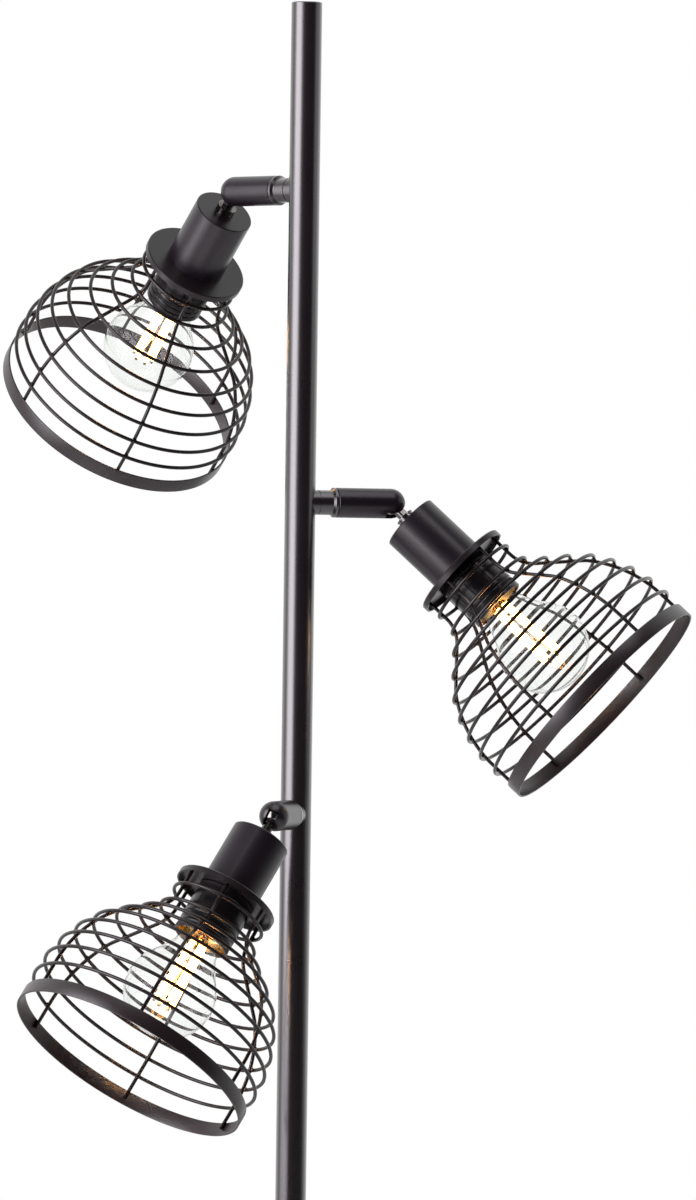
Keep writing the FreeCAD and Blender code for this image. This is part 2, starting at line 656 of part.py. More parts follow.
def make_bulb(prefix):
    """Clear glass: a ball that runs into the neck, and inside it a post for the filament."""
    neck_top = bulb_cap_end - bulb_neck_length
    inner_neck = bulb_neck_radius - glass_wall
    inner_ball = bulb_radius - glass_wall
    waist = (bulb_centre - bulb_cap_end) / 2
    waist_radius = leg(bulb_radius, waist)
    inner_waist = leg(inner_ball, waist)
    glass = turned(prefix + "glass", [
        (inner_neck, -neck_top), (inner_neck, -bulb_cap_end),
        (inner_waist, -(bulb_centre - waist)), (0, -(bulb_centre + inner_ball), inner_ball, -1),
        (0, -(bulb_centre + bulb_radius)), (waist_radius, -(bulb_centre - waist), bulb_radius, 1),
        (bulb_neck_radius, -bulb_cap_end), (bulb_neck_radius, -neck_top)])
    post = turned(prefix + "filament_post", [
        (0, -neck_top), (0, -(neck_top + mount_length)), (mount_radius, -(neck_top + mount_length)),
        (mount_radius, -bulb_cap_end), (inner_neck - thread_fit, -neck_top)])
    return group(prefix + "bulb", [glass, post])


# ---- cage: six ribs, nine rings welded round them, and a band ----------------------------------

rib_radius_end = band_radius - band_sheet - wire_width / 2


class Rib:
    """The middle line of a rib in its own half plane.

    It runs straight down the neck, bends out, runs straight down the flare, bends at the shoulder,
    follows the dome and runs straight down the skirt. Each stretch is tangent to the next. A place
    on it is a radius from the bell's axis and a depth under the disc's upper face.
    """

    def __init__(self):
        flare = math.radians(flare_angle.number)
        dome = math.radians(dome_angle.number)
        reach = neck_bend.number * math.tan(flare / 2)
        self.bends = [(neck_bend.number, 0.0, flare), (shoulder_bend.number, flare, dome),
                      (dome_bend.number, dome, 0.0)]
        corner = (cage_neck_radius.number, flare_start.number)
        neck_top = (corner[0], disc_sheet.number)
        neck_end = (corner[0], corner[1] - reach)
        flare_top = self.after_bend(neck_end, *self.bends[0])
        dome_top = rib_radius_end.number - dome_bend.number * (1 - math.cos(dome))
        shoulder_rise = shoulder_bend.number * (math.cos(dome) - math.cos(flare))
        flare_length = (dome_top - shoulder_rise - flare_top[0]) / math.sin(flare)
        flare_end = (flare_top[0] + flare_length * math.sin(flare),
                     flare_top[1] + flare_length * math.cos(flare))
        shoulder_end = self.after_bend(flare_end, *self.bends[1])
        skirt_top = self.after_bend(shoulder_end, *self.bends[2])
        skirt_end = (skirt_top[0], rib_end.number)
        self.places = [neck_top, neck_end, flare_top, flare_end, shoulder_end, skirt_top, skirt_end]

    def after_bend(self, start, bend, slope, new_slope):
        """Where an arc of the given bend ends, if the slope changes from one angle to the other."""
        if new_slope > slope:
            return (start[0] + bend * (math.cos(slope) - math.cos(new_slope)),
                    start[1] + bend * (math.sin(new_slope) - math.sin(slope)))
        return (start[0] + bend * (math.cos(new_slope) - math.cos(slope)),
                start[1] + bend * (math.sin(slope) - math.sin(new_slope)))

    def along(self, start, length, slope):
        return (start[0] + length * math.sin(slope), start[1] + length * math.cos(slope))

    def stretches(self):
        """Start, end, bend (0 where straight), first slope and last slope of every stretch."""
        spots = self.places
        neck, shoulder, dome = self.bends
        yield spots[0], spots[1], 0.0, 0.0, 0.0
        yield spots[1], spots[2], *neck
        yield spots[2], spots[3], 0.0, neck[2], neck[2]
        yield spots[3], spots[4], *shoulder
        yield spots[4], spots[5], *dome
        yield spots[5], spots[6], 0.0, 0.0, 0.0

    def at(self, length):
        """Radius, depth and slope at a length along the middle line from the disc."""
        for start, end, bend, slope, new_slope in self.stretches():
            reach = bend * abs(new_slope - slope) if bend else math.dist(start, end)
            if length <= reach:
                break
            length -= reach
        if not bend:
            return *self.along(start, length, slope), slope
        here = slope + (new_slope - slope) * length / reach
        return *self.after_bend(start, bend, slope, here), here

    def wire(self):
        """The middle line as one tangent wire in the XZ plane, hanging from the disc."""
        edges = []
        for start, end, bend, slope, new_slope in self.stretches():
            spots = [start, end]
            if bend:
                spots.insert(1, self.after_bend(start, bend, slope, (slope + new_slope) / 2))
            spots = [FreeCAD.Vector(radius, 0, -(disc_top.number + depth)) for radius, depth in spots]
            edges.append((Part.Arc(*spots) if bend else Part.LineSegment(*spots)).toShape())
        return Part.Wire(edges)


def wire_section(name):
    """The wire's section, as wide across its flats as the wire is thick."""
    section = document.addObject("Part::RegularPolygon", name)
    section.Polygon = wire_sides
    bind(section, Circumradius=wire_width / (2 * math.cos(math.pi / wire_sides)))
    return section


def make_cage(prefix, level):
    """Ribs and rings, joined by their welds into one piece."""
    rib = Rib()
    path = document.addObject("Part::Feature", prefix + "rib_path")
    path.Shape = rib.wire()
    members = []
    for index in range(rib_count):
        section = wire_section(f"{prefix}rib_section_{index}")
        flat_outwards = turn((0, 0, 1), 180 / wire_sides)
        section.Placement = shift(cage_neck_radius.number, 0, -disc_bottom.number).multiply(flat_outwards)
        sweep = document.addObject("Part::Sweep", f"{prefix}rib_{index}")
        sweep.Sections = [section]
        sweep.Spine = (path, [])
        sweep.Solid = True
        sweep.Frenet = False
        sweep.Placement = turn((0, 0, 1), cage_turns[level].number + index * 360 / rib_count)
        members.append(sweep)
    for index in range(cage_ring_count):
        below = max(index + 1 - flare_ring_count, 0)
        length = first_ring.number + flare_pitch.number * (index - below) + dome_pitch.number * below
        radius, depth, slope = rib.at(length)
        offset = wire_width.number - weld_sink.number
        section = wire_section(f"{prefix}ring_section_{index}")
        upright = turn((1, 0, 0), 90)
        facing = turn((0, 0, 1), math.degrees(slope) + 180 / wire_sides)
        section.Placement = shift(radius + offset * math.cos(slope), 0,
                                  -(disc_top.number + depth - offset * math.sin(slope))
                                  ).multiply(upright).multiply(facing)
        ring = document.addObject("Part::Revolution", f"{prefix}ring_{index}")
        ring.Source = section
        ring.Axis = FreeCAD.Vector(0, 0, 1)
        ring.Base = FreeCAD.Vector(0, 0, 0)
        ring.Angle = 360
        ring.Solid = True
        members.append(ring)
    return group(prefix + "cage", members, "Part::MultiFuse")


def make_band(prefix):
    inside = band_radius - band_sheet
    top = disc_top + band_top
    return turned(prefix + "band", [(inside, -top), (inside, -(top + band_width)),
                                    (band_radius, -(top + band_width)), (band_radius, -top)])


# ---- the lamp ----------------------------------------------------------------------------------

make_pole()
make_base()

spindle_nuts = []
for level, spot in enumerate(("upper", "middle", "lower")):
    prefix = spot + "_"
    fixed = arm_placement(level, 0)
    swivelled = arm_placement(level, swivel_angles[level].number)
    hanging = head_placement(level)
    finish(make_stub(prefix), prefix + "arm_stub", fixed)
    nut = hex_nut(prefix + "spindle_nut", spindle_nut_corner, spindle_radius + push_fit,
                  spindle_nut_height, nut_start)
    nut.Placement = fixed
    spindle_nuts.append(nut)
    finish(make_barrel(prefix), prefix + "arm_barrel", swivelled)
    finish(make_bush(prefix), prefix + "arm_bush", swivelled)
    finish(make_seat(prefix), prefix + "ball_seat", swivelled)
    finish(make_ball(prefix), prefix + "ball_stem", hanging)
    finish(make_neck_nuts(prefix), prefix + "neck_nuts", hanging)
    finish(make_cup(prefix), prefix + "cup", hanging)
    finish(make_disc(prefix), prefix + "shade_disc", hanging)
    finish(make_shade_ring(prefix), prefix + "shade_ring", hanging)
    finish(make_holder_cap(prefix), prefix + "holder_cap", hanging)
    finish(make_holder(prefix), prefix + "holder_body", hanging)
    finish(make_contacts(prefix), prefix + "socket_contacts", hanging)
    finish(make_bulb_cap(prefix), prefix + "bulb_cap", hanging)
    finish(make_bulb(prefix), prefix + "bulb_glass", hanging)
    finish(make_cage(prefix, level), prefix + "cage_wires", hanging)
    finish(make_band(prefix), prefix + "cage_band", hanging)
finish(group("spindle_nuts", spindle_nuts), "spindle_nuts")

document.recompute()

faults = [item.Name for item in document.Objects if "Invalid" in item.State or "Error" in item.State]
for part in sub_parts:
    if part.Shape.isNull() or not part.Shape.isValid() or not part.Shape.Solids:
        faults.append(part.Label)
if faults:
    raise RuntimeError("failed: " + ", ".join(faults))

os.makedirs("parts", exist_ok=True)
for part in sub_parts:
    part.Shape.exportStep(f"parts/{part.Label}.step")
print(len(sub_parts), "sub-parts written")
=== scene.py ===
import json
import math
import bpy
import bmesh
import numpy as np
from mathutils import Matrix, Vector


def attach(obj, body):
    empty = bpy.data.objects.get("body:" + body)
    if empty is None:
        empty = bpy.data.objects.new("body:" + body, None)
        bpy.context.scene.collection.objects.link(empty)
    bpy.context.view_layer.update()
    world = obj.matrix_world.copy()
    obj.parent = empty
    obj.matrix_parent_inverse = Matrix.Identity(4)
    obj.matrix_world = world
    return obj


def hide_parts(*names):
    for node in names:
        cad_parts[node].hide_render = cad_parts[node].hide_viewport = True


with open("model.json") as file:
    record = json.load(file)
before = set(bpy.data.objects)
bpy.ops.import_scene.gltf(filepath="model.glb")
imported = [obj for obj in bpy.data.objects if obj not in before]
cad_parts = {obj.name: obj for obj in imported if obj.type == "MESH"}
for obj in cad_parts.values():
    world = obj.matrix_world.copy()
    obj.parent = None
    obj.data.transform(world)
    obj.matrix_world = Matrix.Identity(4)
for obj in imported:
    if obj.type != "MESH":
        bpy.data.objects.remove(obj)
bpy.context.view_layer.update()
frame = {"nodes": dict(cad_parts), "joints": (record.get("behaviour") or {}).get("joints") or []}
spots = ("upper", "middle", "lower")


# ---- Weighted base -------------------------------------------------------------------------------
# A pressed steel cover lies over a round iron casting that keeps the tall lamp upright. The cover
# is sprayed with the same black enamel as the pole; the casting below it is left raw.

def surface_grain():
    """Node group: a cloud of large soft patches and a fine spray texture, in object space.

    Tone is the patches, Height is the fine texture, and Roughness is the base
    roughness plus the patches, centred on nought, times the spread.
    """
    group = bpy.data.node_groups.new("surface_grain", "ShaderNodeTree")
    for name, value in (("Patch Scale", 40.0), ("Grain Scale", 900.0), ("Roughness", 0.35), ("Spread", 0.1)):
        socket = group.interface.new_socket(name, in_out="INPUT", socket_type="NodeSocketFloat")
        socket.default_value = value
    for name in ("Tone", "Roughness", "Height"):
        group.interface.new_socket(name, in_out="OUTPUT", socket_type="NodeSocketFloat")
    nodes, links = group.nodes, group.links
    inside, outside = nodes.new("NodeGroupInput"), nodes.new("NodeGroupOutput")
    where = nodes.new("ShaderNodeTexCoord")
    patches, grain = nodes.new("ShaderNodeTexNoise"), nodes.new("ShaderNodeTexNoise")
    patches.inputs["Detail"].default_value = 3
    grain.inputs["Detail"].default_value = 4
    for noise, scale in ((patches, "Patch Scale"), (grain, "Grain Scale")):
        links.new(where.outputs["Object"], noise.inputs["Vector"])
        links.new(inside.outputs[scale], noise.inputs["Scale"])
    centred, spread, total = (nodes.new("ShaderNodeMath") for _ in range(3))
    centred.operation, spread.operation, total.operation = "SUBTRACT", "MULTIPLY", "ADD"
    centred.inputs[1].default_value = 0.5
    links.new(patches.outputs["Fac"], centred.inputs[0])
    links.new(centred.outputs[0], spread.inputs[0])
    links.new(inside.outputs["Spread"], spread.inputs[1])
    links.new(spread.outputs[0], total.inputs[0])
    links.new(inside.outputs["Roughness"], total.inputs[1])
    links.new(patches.outputs["Fac"], outside.inputs["Tone"])
    links.new(total.outputs[0], outside.inputs["Roughness"])
    links.new(grain.outputs["Fac"], outside.inputs["Height"])
    return group


grain_group = surface_grain()


def finish(name, dark, light, roughness, spread, patch_scale, grain_scale, depth, **constants):
    """A grained material: its colour runs from dark to light with the patches, its bump has the depth.

    The constants are further sockets of the shader, by name, with underscores in place of spaces.
    """
    made = bpy.data.materials.new(name)
    made.use_nodes = True
    nodes, links = made.node_tree.nodes, made.node_tree.links
    shader = nodes["Principled BSDF"]
    grain = nodes.new("ShaderNodeGroup")
    grain.node_tree = grain_group
    for socket, value in (("Patch Scale", patch_scale), ("Grain Scale", grain_scale),
                          ("Roughness", roughness), ("Spread", spread)):
        grain.inputs[socket].default_value = value
    ramp = nodes.new("ShaderNodeValToRGB")
    for stop, place, colour in zip(ramp.color_ramp.elements, (0.3, 0.7), (dark, light)):
        stop.position, stop.color = place, (*colour, 1)
    bump = nodes.new("ShaderNodeBump")
    bump.inputs["Distance"].default_value = depth
    links.new(grain.outputs["Tone"], ramp.inputs["Fac"])
    links.new(ramp.outputs["Color"], shader.inputs["Base Color"])
    links.new(grain.outputs["Roughness"], shader.inputs["Roughness"])
    links.new(grain.outputs["Height"], bump.inputs["Height"])
    links.new(bump.outputs["Normal"], shader.inputs["Normal"])
    for socket, value in constants.items():
        shader.inputs[socket.replace("_", " ")].default_value = value
    return made


def dress(node, material):
    """Puts a finish on a CAD node through its object's material slots."""
    piece = frame["nodes"][node]
    if not piece.material_slots:
        piece.data.materials.append(None)
    for place in piece.material_slots:
        place.link = "OBJECT"
        place.material = material


enamel = finish("black_enamel", (0.0066, 0.0030, 0.0056), (0.0092, 0.0046, 0.0078), 0.28, 0.06, 25, 1400,
                0.00002, Specular_IOR_Level=1.0, Coat_Weight=1.0, Coat_IOR=1.65, Coat_Roughness=0.26)
casting = finish("raw_casting", (0.035, 0.034, 0.036), (0.09, 0.085, 0.08), 0.7, 0.2, 60, 500, 0.0005,
                 Metallic=0.6)
dress("base_cover", enamel)
dress("base_weight", casting)


# ---- Rubber under and in the base ----------------------------------------------------------------
# A moulded rubber ring under the casting keeps the base from marking the floor, and a rubber
# grommet lines the hole where the flex goes in at the back. Both are plain matt black.

rubber = finish("black_rubber", (0.018, 0.018, 0.018), (0.035, 0.034, 0.034), 0.75, 0.15, 120, 1600, 0.00008)
dress("base_foot_ring", rubber)
dress("cable_grommet", rubber)


# ---- Fixings inside the base and the pole ----------------------------------------------------------
# A threaded rod with a washer and nut clamps the pole to the casting, a turned coupler joins the
# two tubes, and a nut holds each arm's spindle inside the pole. All are zinc plated steel.

steel = finish("zinc_plate", (0.42, 0.42, 0.43), (0.6, 0.6, 0.6), 0.32, 0.2, 90, 700, 0.00003, Metallic=1.0)
for node in ("pole_coupler", "pole_foot_rod", "base_nut_and_washer", "spindle_nuts"):
    dress(node, steel)


# ---- Pole ------------------------------------------------------------------------------------------
# Two lengths of 20 mm steel tube, one on the other, closed by a flat plug at the top. They are
# sprayed with satin black enamel, which shows long soft reflections of whatever stands beside it.

for node in ("pole_lower_tube", "pole_upper_tube", "pole_top_plug"):
    dress(node, enamel)


# ---- Swivel arms -----------------------------------------------------------------------------------
# Each arm is a fixed stub with a collar and a turned barrel that swivels against it on a brass bush.
# The barrel's round end is slotted for the ball joint, which runs in a white nylon seat. The stub is
# sprayed with the pole, and the barrel has a black powder coat of its own.

powder_coat = finish("black_powder_coat", (0.0080, 0.0044, 0.0082), (0.0112, 0.0066, 0.0114), 0.30, 0.06, 30,
                     1200, 0.00004, Specular_IOR_Level=0.75)
brass = finish("brass", (0.66, 0.47, 0.20), (0.83, 0.64, 0.34), 0.24, 0.15, 70, 900, 0.00002, Metallic=1.0)
nylon = finish("nylon", (0.74, 0.72, 0.66), (0.82, 0.80, 0.75), 0.5, 0.1, 80, 600, 0.00004)
for spot in spots:
    dress(f"{spot}_arm_stub", enamel)
    dress(f"{spot}_arm_barrel", powder_coat)
    dress(f"{spot}_arm_bush", brass)
    dress(f"{spot}_ball_seat", nylon)


# ---- Ball joints -----------------------------------------------------------------------------------
# The ball, its neck and the threaded stem are turned from one steel bar and plated dark nickel. A
# ridged ring nut and a hexagon lock nut screw on the stem and hold the cup between them.

nickel = finish("dark_nickel", (0.20, 0.19, 0.185), (0.33, 0.31, 0.30), 0.10, 0.12, 150, 900, 0.00002,
                Metallic=1.0)
for spot in spots:
    dress(f"{spot}_ball_stem", nickel)
    dress(f"{spot}_neck_nuts", nickel)


# ---- Cups and discs --------------------------------------------------------------------------------
# A drawn steel cup hides the upper half of the lampholder, and a shallow pressed disc below it
# carries the cage inside its rim. The cup is powder coated like the barrels, the disc duller.

dull_coat = finish("dull_black_coat", (0.0100, 0.0068, 0.0085), (0.0140, 0.0098, 0.0120), 0.30, 0.1, 30, 1200,
                   0.00005, Specular_IOR_Level=0.6)
for spot in spots:
    dress(f"{spot}_cup", powder_coat)
    dress(f"{spot}_shade_disc", dull_coat)


# ---- Lampholders -----------------------------------------------------------------------------------
# A moulded black holder in two halves. Its lower half ends in a skirt with turned grooves, and a
# ring with small ribs, for the fingers to turn it, clamps the disc against the cup.

holder_plastic = finish("holder_plastic", (0.007, 0.006, 0.007), (0.011, 0.009, 0.010), 0.2, 0.08, 90, 1500,
                        0.00001, Specular_IOR_Level=0.6)
ring_top, ring_end, ring_radius, ring_inside = 0.0637, 0.0699, 0.0196, 0.0166
ring_ribs, rib_height, rib_slope, rib_run = 60, 0.00025, 0.0008, 0.0005
skirt_top, skirt_end, skirt_radius, skirt_inside = 0.070, 0.0985, 0.0192, 0.0176
groove_places, groove_depth, groove_width = (0.0865, 0.0905, 0.0945), 0.0006, 0.00042
top_edge, mouth_edge = 0.0003, 0.0006
thread_radius, holder_bore, holder_top, shell_stop = 0.0165, 0.0146, 0.050, 0.089
merge_distance, flat_edge = 2e-6, 1e-7


def head_axes(spot):
    """Ball's centre and the head's three directions at rest, found from the two joints of its arm.

    The head's downward direction is the arm's, turned about the tilting axis by the tilt's lower
    limit with its sign changed: cosine times the arm plus sine times the cross product.
    """
    joints = {joint["name"]: joint for joint in frame["joints"]}
    arm = np.array(joints[f"{spot}_swivel"]["axis"])
    tilt = joints[f"{spot}_tilt"]
    side = np.array(tilt["axis"])
    angle = math.radians(-tilt["range_deg"][0])
    down = arm * math.cos(angle) + np.cross(side, arm) * math.sin(angle)
    return np.array(tilt["pos_m"]), np.cross(side, -down), side, down


def in_head(spot, points):
    """Places points that are given as front, side and depth below the ball's centre."""
    ball, front, side, down = head_axes(spot)
    return ball + points[..., :1] * front + points[..., 1:2] * side + points[..., 2:] * down


def lathe(radii, depths, sides=96, angle_start=0.0):
    """A turned surface: every profile point goes round the axis, radius times cosine and sine."""
    angles = angle_start + np.linspace(0, 2 * np.pi, sides, endpoint=False)[None, :]
    radii = np.broadcast_to(np.asarray(radii, float).reshape(len(radii), -1), (len(radii), sides))
    depths = np.broadcast_to(np.asarray(depths, float).reshape(len(depths), -1), (len(radii), sides))
    return np.stack([radii * np.cos(angles), radii * np.sin(angles), depths], axis=-1)


def grid_faces(rows, columns, closed_rows):
    """Four-sided faces between neighbours of a grid whose columns close up into a loop."""
    row = np.arange(rows if closed_rows else rows - 1)[:, None]
    column = np.arange(columns)[None, :]
    below, beside = (row + 1) % rows, (column + 1) % columns
    corners = (row * columns + column, row * columns + beside, below * columns + beside,
               below * columns + column)
    full = [np.broadcast_to(corner, (len(row), columns)) for corner in corners]
    return np.stack(full, axis=-1).reshape(-1, 4)


def new_piece(name, surfaces, material, body, smooth_angle=35):
    """Joins grids into one mesh, merges its poles, turns its faces outwards and puts it on its body.

    A surface is a pair: its points as rows and columns, and whether the last row meets the first.
    """
    points, faces, total = [], [], 0
    for grid, closed_rows in surfaces:
        rows, columns = grid.shape[:2]
        points.append(grid.reshape(-1, 3))
        faces.append(grid_faces(rows, columns, closed_rows) + total)
        total += rows * columns
    mesh = bpy.data.meshes.new(name)
    mesh.from_pydata(np.concatenate(points).tolist(), [], np.concatenate(faces).tolist())
    work = bmesh.new()
    work.from_mesh(mesh)
    bmesh.ops.remove_doubles(work, verts=work.verts, dist=merge_distance)
    bmesh.ops.dissolve_degenerate(work, dist=flat_edge, edges=work.edges)
    bmesh.ops.recalc_face_normals(work, faces=work.faces)
    work.to_mesh(mesh)
    work.free()
    mesh.shade_smooth()
    mesh.set_sharp_from_angle(angle=math.radians(smooth_angle))
    mesh.materials.append(material)
    piece = bpy.data.objects.new(name, mesh)
    bpy.context.scene.collection.objects.link(piece)
    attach(piece, body)
    return piece


def holder_skirt():
    """The lower half of the holder: a closed profile whose outer wall dips at every groove.

    The outer radius is the skirt's less, at each groove, a bell curve of the depth below the top.
    """
    outer_depth = np.linspace(skirt_end - mouth_edge, skirt_top + top_edge, 90)
    dips = sum(np.exp(-((outer_depth - place) / groove_width) ** 2) for place in groove_places)
    outer = skirt_radius - groove_depth * dips
    radii = [holder_bore, holder_bore, skirt_inside, skirt_inside, skirt_radius - mouth_edge, *outer,
             skirt_radius - top_edge, thread_radius, thread_radius]
    depths = [holder_top, shell_stop, shell_stop, skirt_end, skirt_end, *outer_depth,
              skirt_top, skirt_top, holder_top]
    return lathe(radii, depths)


def clamp_ring():
    """A ring whose outer radius rises and falls as a cosine of sixty times the angle."""
    sides = ring_ribs * 6
    waves = (0.5 + 0.5 * np.cos(np.linspace(0, 2 * np.pi, sides, endpoint=False) * ring_ribs)) * rib_height
    plain_wall = np.zeros(sides)
    inner, rim, ribbed = ring_inside + plain_wall, ring_radius - rib_slope + plain_wall, ring_radius - waves
    radii = np.stack([inner, rim, ribbed, ribbed, rim, inner])
    depths = [ring_top, ring_top, ring_top + rib_run, ring_end - rib_run, ring_end, ring_end]
    return lathe(radii, depths, sides)


for spot in spots:
    dress(f"{spot}_holder_cap", holder_plastic)
    for name, shape, node in (("holder_skirt", holder_skirt(), "holder_body"),
                              ("clamp_ring", clamp_ring(), "shade_ring")):
        moulding = new_piece(f"{spot}_{name}", [(in_head(spot, shape), True)], holder_plastic, f"{spot}_head")
        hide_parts(f"{spot}_{node}")


# ---- Contacts --------------------------------------------------------------------------------------
# The brass screw shell and the centre contact inside each lampholder. They are pressed from sheet,
# and a flared brass collar, pushed into the skirt, guides the bulb's cap into the shell.

collar_top, collar_end, collar_small, collar_wide, collar_sheet = 0.0893, 0.0972, 0.0147, 0.0172, 0.0004


def shell_collar():
    """A thin flare: its radius grows with the square root of the way down to the mouth."""
    way = np.linspace(0, 1, 14)
    depths = collar_top + (collar_end - collar_top) * way
    radii = collar_small + (collar_wide - collar_small) * np.sqrt(way)
    return lathe(np.concatenate([radii, radii[::-1] + collar_sheet]), np.concatenate([depths, depths[::-1]]))


for spot in spots:
    dress(f"{spot}_socket_contacts", brass)
    new_piece(f"{spot}_shell_collar", [(in_head(spot, shell_collar()), True)], brass, f"{spot}_head")


# ---- Bulb caps -------------------------------------------------------------------------------------
# The rolled brass screw cap of a standard bulb, with a black glass insulator and a blob of solder
# at its end. The thread is rolled into thin sheet, so it is a soft wave and not a sharp vee.

cap_top, cap_shoulder, cap_end = 0.0616, 0.0666, 0.0882
thread_crest, thread_depth, thread_pitch, thread_fade = 0.0132, 0.0009, 0.0036, 0.003
wall_step, plain_end, lip_height, lip_fold, lid_edge, cap_sheet = 0.0004, 0.002, 0.0006, 0.0006, 0.001, 0.0005
insulator_radius, solder_radius, solder_height = 0.0098, 0.0042, 0.0009
black_glass = finish("cap_insulator", (0.01, 0.01, 0.011), (0.02, 0.02, 0.022), 0.12, 0.05, 90, 500, 0.00001)
solder = finish("solder", (0.5, 0.5, 0.5), (0.68, 0.68, 0.67), 0.35, 0.2, 300, 900, 0.0001, Metallic=1.0)


def screw_cap():
    """The wall is a wave: crest less half the depth times one minus the cosine of angle plus turns.

    The wave fades out over the first and the last turn, where the sheet is plain.
    """
    sides = 72
    depth = np.linspace(cap_shoulder, cap_end, 64)
    angles = np.linspace(0, 2 * np.pi, sides, endpoint=False)
    phase = angles[None, :] + 2 * np.pi * depth[:, None] / thread_pitch
    fade = np.clip(np.minimum(depth - cap_shoulder, cap_end - plain_end - depth) / thread_fade, 0, 1)[:, None]
    radii = thread_crest - wall_step - thread_depth * fade * 0.5 * (1 - np.cos(phase))
    lid = np.array([insulator_radius, thread_crest - lid_edge])[:, None] + np.zeros(sides)
    lip = np.array([thread_crest, thread_crest, thread_crest - lip_fold])[:, None] + np.zeros(sides)
    inner = (radii - cap_sheet)[::-1]
    lid_depths = [cap_shoulder - 2 * lip_height, cap_shoulder - lip_height]
    lip_depths = [cap_end, cap_end + lip_height, cap_end + lip_height]
    depths = np.concatenate([lid_depths, depth, lip_depths, depth[::-1], [cap_shoulder - 0.0001]])
    return lathe(np.concatenate([lid, radii, lip, inner, lid[:1]]), depths, sides)


def insulator():
    """A shallow cone of glass from the screw cap to the solder, closed at both ends."""
    base, bevel, tip = cap_shoulder - 0.0005, cap_shoulder - 0.0014, cap_top + 0.0006
    radii = [0, insulator_radius, insulator_radius - 0.0002, solder_radius + 0.0004, 0]
    depths = [base, base, bevel, tip, tip]
    return lathe(radii, depths, 64)


def solder_drop():
    """A flat drop: radius as the sine and height as the cosine of a quarter turn."""
    angle = np.linspace(0, np.pi / 2, 10)
    radii = np.concatenate([[0], solder_radius * np.sin(angle[::-1])])
    seat = cap_top + 0.001
    depths = np.concatenate([[seat], seat - solder_height * np.cos(angle[::-1])])
    return lathe(radii, depths, 48)


for spot in spots:
    cap = new_piece(f"{spot}_screw_cap", [(in_head(spot, screw_cap()), True)], brass, f"{spot}_head")
    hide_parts(f"{spot}_bulb_cap")
    new_piece(f"{spot}_cap_insulator", [(in_head(spot, insulator()), False)], black_glass, f"{spot}_head")
    new_piece(f"{spot}_solder_drop", [(in_head(spot, solder_drop()), False)], solder, f"{spot}_head")


# ---- Bulbs -----------------------------------------------------------------------------------------
# A clear pear-shaped bulb blown in thin glass and fused to a flared glass foot, which carries the
# filament. It is 60 mm across, and its neck runs smoothly into the round end.

ball_radius, ball_depth, neck_radius, neck_end, glass_wall = 0.030, 0.1385, 0.0122, 0.0850, 0.0005
meet_angle = math.radians(52)
foot_radius, foot_tip, foot_gap, bead_swell, bead_length = 0.0022, 0.113, 0.0012, 0.0008, 0.002


def clear_glass():
    """Glass that lets shadow rays through, so the filament lights what is round the bulb."""
    made = bpy.data.materials.new("clear_glass")
    made.use_nodes = True
    nodes, links = made.node_tree.nodes, made.node_tree.links
    shader = nodes["Principled BSDF"]
    for socket, value in (("Base Color", (0.97, 0.98, 0.97, 1)), ("Metallic", 0.0), ("Roughness", 0.0),
                          ("IOR", 1.3), ("Transmission Weight", 1.0)):
        shader.inputs[socket].default_value = value
    clear, mix = nodes.new("ShaderNodeBsdfTransparent"), nodes.new("ShaderNodeMixShader")
    path = nodes.new("ShaderNodeLightPath")
    links.new(path.outputs["Is Shadow Ray"], mix.inputs[0])
    links.new(shader.outputs[0], mix.inputs[1])
    links.new(clear.outputs[0], mix.inputs[2])
    links.new(mix.outputs[0], nodes["Material Output"].inputs["Surface"])
    return made


def bulb_outline(shrink):
    """Radius and depth of the glass, from the neck to the tip, drawn in by the wall if asked.

    The neck's slope eases in as the square of the way down; the round end is a circle, and the two
    meet where the circle is 52 degrees from the axis.
    """
    radius = ball_radius - shrink
    meet_radius, meet_depth = radius * math.sin(meet_angle), ball_depth - radius * math.cos(meet_angle)
    slope = 1 / math.tan(meet_angle)
    way = np.linspace(0, 1, 26)
    start = neck_radius - shrink
    run, rise = meet_depth - neck_end, meet_radius - start
    bow = slope * run - rise
    neck_line = start + rise * way**3 * (3 - 2 * way) + bow * way**4 * (way - 1)
    turn_angle = np.linspace(meet_angle, np.pi, 40)[1:]
    return (np.concatenate([neck_line, radius * np.sin(turn_angle)]),
            np.concatenate([neck_end + run * way, ball_depth - radius * np.cos(turn_angle)]))


def bulb_shell():
    """The outer and the inner face of the glass, and the flat rim that joins them at the neck."""
    outer_radii, outer_depths = bulb_outline(0.0)
    inner_radii, inner_depths = bulb_outline(glass_wall)
    return [(lathe(np.maximum(outer_radii, 0), outer_depths, 80), False),
            (lathe(np.maximum(inner_radii[::-1], 0), inner_depths[::-1], 80), False),
            (lathe([inner_radii[0], outer_radii[0]], [neck_end, neck_end], 80), False)]


def glass_foot():
    """A trumpet: its radius falls with the cube of the way that is left, and a small bead closes it."""
    way = np.linspace(0, 1, 14)
    radii = foot_radius + (neck_radius - foot_gap - foot_radius) * (1 - way) ** 3
    bead_angle = np.linspace(0, np.pi, 9)
    bead = foot_radius + bead_swell * np.sin(bead_angle)
    depths = neck_end + (foot_tip - neck_end) * way
    bead_depths = foot_tip + bead_length * bead_angle / np.pi
    return lathe([0, *radii, *bead, 0], [neck_end, *depths, *bead_depths, foot_tip + 0.0023], 40)


bulb_glass = clear_glass()
for spot in spots:
    surfaces = [(in_head(spot, grid), closed) for grid, closed in bulb_shell()]
    bulb = new_piece(f"{spot}_bulb", surfaces, bulb_glass, f"{spot}_head")
    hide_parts(f"{spot}_bulb_glass")
    new_piece(f"{spot}_glass_foot", [(in_head(spot, glass_foot()), False)], bulb_glass, f"{spot}_head")


